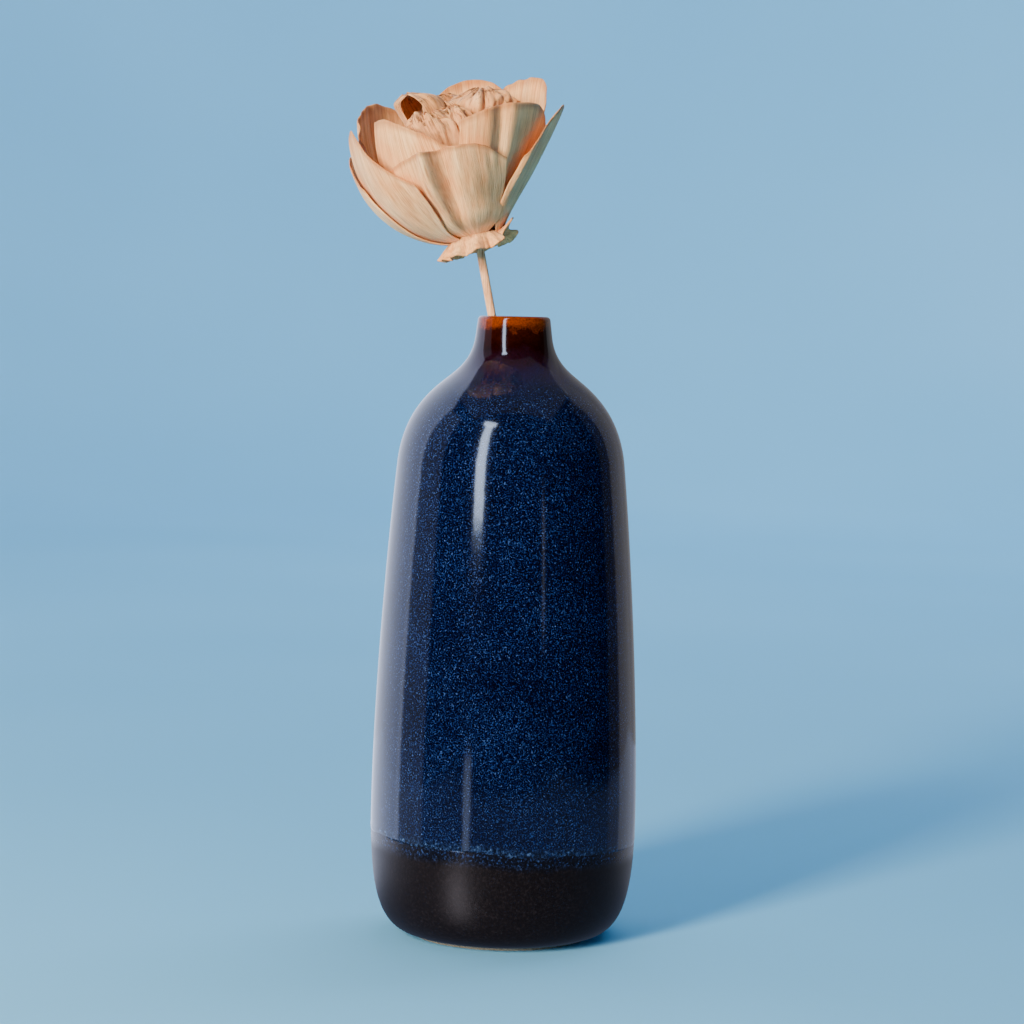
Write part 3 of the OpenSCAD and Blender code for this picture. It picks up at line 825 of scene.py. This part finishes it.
# %% The six cowls, from the left round to the heart
cowl("inner_petal_hood", "inner_petal_1", (-6, 0, 8), (-15.2, -4, 52.0), 8.0, -112, 24, pleats=(6, 0.6),
     closing=0.15, crumple=1.0, dome=1.9, slit=(0.1, 0.4, 1.0, 1.0, 0.05), seed=12)
cowl("inner_petal_pinched", "inner_petal_2", (5, 2, 8), (10.5, 0, 49.0), 10.8, 60, 8, pleats=(11, 1.3),
     closing=0.10, crumple=2.6, squeeze=0.9, dome=1.8, seed=13)
cowl("inner_petal_back", "inner_petal_3", (-2, 7, 8), (-7, 15, 50), 9.5, -70, 30, pleats=(6, 0.4),
     closing=0.5, crumple=1.0, seed=14)
cowl("heart_petal_front", "heart_petal_1", (-4, -6, 8), (-10.5, -15.5, 43.5), 8.8, 90, 30, pleats=(9, 1.3),
     closing=0.40, crumple=2.6, squeeze=0.7, seed=15)
cowl("heart_petal_right", "heart_petal_2", (1, -5, 8), (-1.5, -11, 44.5), 6.4, -120, 20, pleats=(7, 1.1),
     closing=0.15, crumple=2.2, seed=16)
cowl("heart_petal_back", "heart_petal_3", (0, 0, 8), (-5.0, 2.5, 51.0), 7.4, -95, 14, pleats=(5, 0.4),
     closing=0.75, crumple=0.9, tip_drop=4.5, dome=1.8, slit=(0.1, 0.4, 1.0, 1.0, 1.0), seed=17)

# %% [markdown]
# ## The rolled heart
# The innermost sheet is rolled into a loose scroll, wider at its mouth. It is a grid that is
# wrapped round the flower's axis for one turn and three quarters, its radius growing as it
# goes, so that the roll is open at the top like a real one.

# %% Rolled heart
SCROLL_TURNS = 1.75


def scroll(side, row):
    turns = (side + 1) / 2 * SCROLL_TURNS
    a = turns * 2 * math.pi + 0.6
    grow = 1.2 + 1.1 * turns
    z = 9.6 + 35.5 * row
    r = grow * (0.45 + 0.75 * row**1.5) + 0.5 * noise.noise(Vector((turns * 3, row * 3, 4)))
    return r * math.cos(a) - 4.0 * row * row, r * math.sin(a) + 2 * row, z + 0.8 * row * math.sin(a * 1.3)


heart = shape_grid("rolled_heart_scroll", 72, 20, scroll)
thicken(heart, HEART_SHEET)
place(heart, "flower_head", "rolled_heart", "pith_sheet_inner", pith_inner)

# %% [markdown]
# ## The ruff
# Under the petals a strip of pith is gathered round the waist and tied. It flares down like
# a small pleated skirt, with the pleats pressed flat and unequal, and at the right the end
# of the strip is folded up into an ear.

# %% Pleated ruff
def ruff_point(side, row):
    a = side * math.pi - 1.2
    wave = math.sin(11 * a + 1.1 * math.sin(2 * a) + 0.4)
    pleat = math.copysign(abs(wave)**0.6, wave) + 0.35 * math.sin(23 * a + 1)
    ear = math.exp(-((math.atan2(math.sin(a + 0.35), math.cos(a + 0.35))) / 0.36) ** 2)
    r = 8.2 + 5.0 * row * (1 + 0.16 * math.cos(a - 2.8)) + 1.3 * row * pleat + 1.0 * ear * row
    r += 0.6 * row * noise.noise(Vector((math.cos(a) * 2, math.sin(a) * 2, row * 2)))
    z = 0.6 - 5.9 * row + 0.5 * pleat * row + 1.5 * math.cos(a) * row + 7.6 * ear * row**1.2
    return r * math.cos(a), r * math.sin(a), z


ruff = shape_grid("pleated_ruff_strip", 200, 12, ruff_point)
bpy.ops.object.mode_set(mode="EDIT")
bpy.ops.mesh.select_all(action="SELECT")
bpy.ops.mesh.remove_doubles(threshold=0.00005)
bpy.ops.object.mode_set(mode="OBJECT")
thicken(ruff, PETAL_SHEET)
place(ruff, "flower_head", "pleated_ruff", "pith_sheet", pith_outer)

# %% [markdown]
# ## Core and thread
# The petals are glued to a pith core with a blind hole for the reed, and bound at the waist
# with cotton. Hardly any of this shows, so the measured parts stay and get their finishes:
# the core is a coarser pith and the thread a twisted cotton.

# %% Core and thread finishes
core_pith = new_material("pith_core")
core_at = add(core_pith, "ShaderNodeTexCoord").outputs["Object"]
core_cells = add(core_pith, "ShaderNodeTexNoise", Vector=core_at, Scale=1500.0, Detail=3.0)
core_colour = add(core_pith, "ShaderNodeValToRGB", Fac=core_cells.outputs["Fac"],
                  stops=[(0.35, "#8A5226"), (0.65, "#D89A5C")]).outputs[0]
core_bump = add(core_pith, "ShaderNodeBump", Height=core_cells.outputs["Fac"], Strength=0.3,
                Distance=0.0002)
finish_material(core_pith, core_bump.outputs["Normal"], Base_Color=core_colour, Roughness=0.85)
cotton = new_material("twisted_cotton_thread")
cotton_at = add(cotton, "ShaderNodeTexCoord").outputs["Object"]
cotton_twist = add(cotton, "ShaderNodeTexWave", {"wave_type": "BANDS", "bands_direction": "DIAGONAL"},
                   Vector=cotton_at, Scale=700.0, Distortion=1.5, Detail=2.0)
cotton_colour = add(cotton, "ShaderNodeValToRGB", Fac=cotton_twist.outputs["Fac"],
                    stops=[(0.2, "#8F7450"), (0.8, "#C9AE82")]).outputs[0]
cotton_bump = add(cotton, "ShaderNodeBump", Height=cotton_twist.outputs["Fac"], Strength=0.5,
                  Distance=0.0001)
finish_material(cotton, cotton_bump.outputs["Normal"], Base_Color=cotton_colour, Roughness=0.9)
for name, material in (("flower_core", core_pith), ("binding_thread", cotton)):
    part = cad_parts[name]
    part.data.materials.clear()
    part.data.materials.append(material)
    print(name, "keeps its measured shape")

# %% [markdown]
# ## The reed
# The stem is a dried reed, three millimetres thick: straight, tan, slightly waxy, with long
# grooves and darker lines along it and a few specks. It starts as a cylinder whose sides
# are pressed in a little to make the grooves, with both ends bevelled.

# %% Reed finish
reed_skin = new_material("dried_reed")
reed_at = add(reed_skin, "ShaderNodeTexCoord").outputs["Object"]
upright = add(reed_skin, "ShaderNodeMapping", Vector=reed_at, Rotation=(0, LEAN, 0),
              Scale=(1.0, 1.0, 0.03)).outputs[0]
reed_lines = add(reed_skin, "ShaderNodeTexNoise", Vector=upright, Scale=2600.0, Detail=3.0, Roughness=0.6)
reed_stain = add(reed_skin, "ShaderNodeTexNoise", Vector=reed_at, Scale=160.0, Detail=4.0)
reed_colour = add(reed_skin, "ShaderNodeValToRGB", Fac=reed_lines.outputs["Fac"],
                  stops=[(0.32, "#B87A48"), (0.5, "#FAB880"), (0.7, "#FFCE9C")]).outputs[0]
reed_shade = add(reed_skin, "ShaderNodeValToRGB", Fac=reed_stain.outputs["Fac"],
                 stops=[(0.35, "#B88C68"), (0.6, "#FFFFFF")]).outputs[0]
reed_colour = add(reed_skin, "ShaderNodeMix", MULTIPLY, i0=0.4, i6=reed_colour, i7=reed_shade).outputs[2]
reed_bump = add(reed_skin, "ShaderNodeBump", Height=reed_lines.outputs["Fac"], Strength=0.5,
                Distance=0.0003)
finish_material(reed_skin, reed_bump.outputs["Normal"], Base_Color=reed_colour, Roughness=0.5)

# %% Reed
start_clean()
REED_RADIUS, REED_TOP, RINGS = 1.5, 6.9, 24
reed_length = (WAIST_Z - REED_END_Z) / math.cos(LEAN)
whole_length = reed_length + REED_TOP
bpy.ops.mesh.primitive_cylinder_add(vertices=36, radius=REED_RADIUS * MM, depth=whole_length * MM,
                                    end_fill_type="NGON")
reed = named("reed_stalk")
bpy.ops.object.mode_set(mode="EDIT")
bpy.ops.mesh.select_all(action="DESELECT")
bpy.ops.object.mode_set(mode="OBJECT")
for face in reed.data.polygons:
    face.select = abs(face.normal.z) > 0.9
bpy.ops.object.mode_set(mode="EDIT")
bpy.ops.mesh.bevel(offset=0.0002, segments=2)
bpy.ops.mesh.select_all(action="SELECT")
for ring in range(1, RINGS):
    level = (-0.5 + ring / RINGS) * whole_length * MM
    bpy.ops.mesh.bisect(plane_co=(0, 0, level), plane_no=(0, 0, 1))
    bpy.ops.mesh.select_all(action="SELECT")
bpy.ops.object.mode_set(mode="OBJECT")
for vertex in reed.data.vertices:
    x, y, z = vertex.co / MM
    a = math.atan2(y, x)
    groove = 1 - 0.035 * (1 + math.cos(5 * a + 0.6)) / 2
    groove -= 0.02 * (1 + noise.noise(Vector((0, 0, z * 0.06)))) / 2
    vertex.co = carried(x * groove, y * groove, z + (REED_TOP - reed_length) / 2)
bpy.ops.object.shade_smooth_by_angle(angle=math.radians(35))
place(reed, "stem", "reed_stem", "dried_reed", reed_skin)
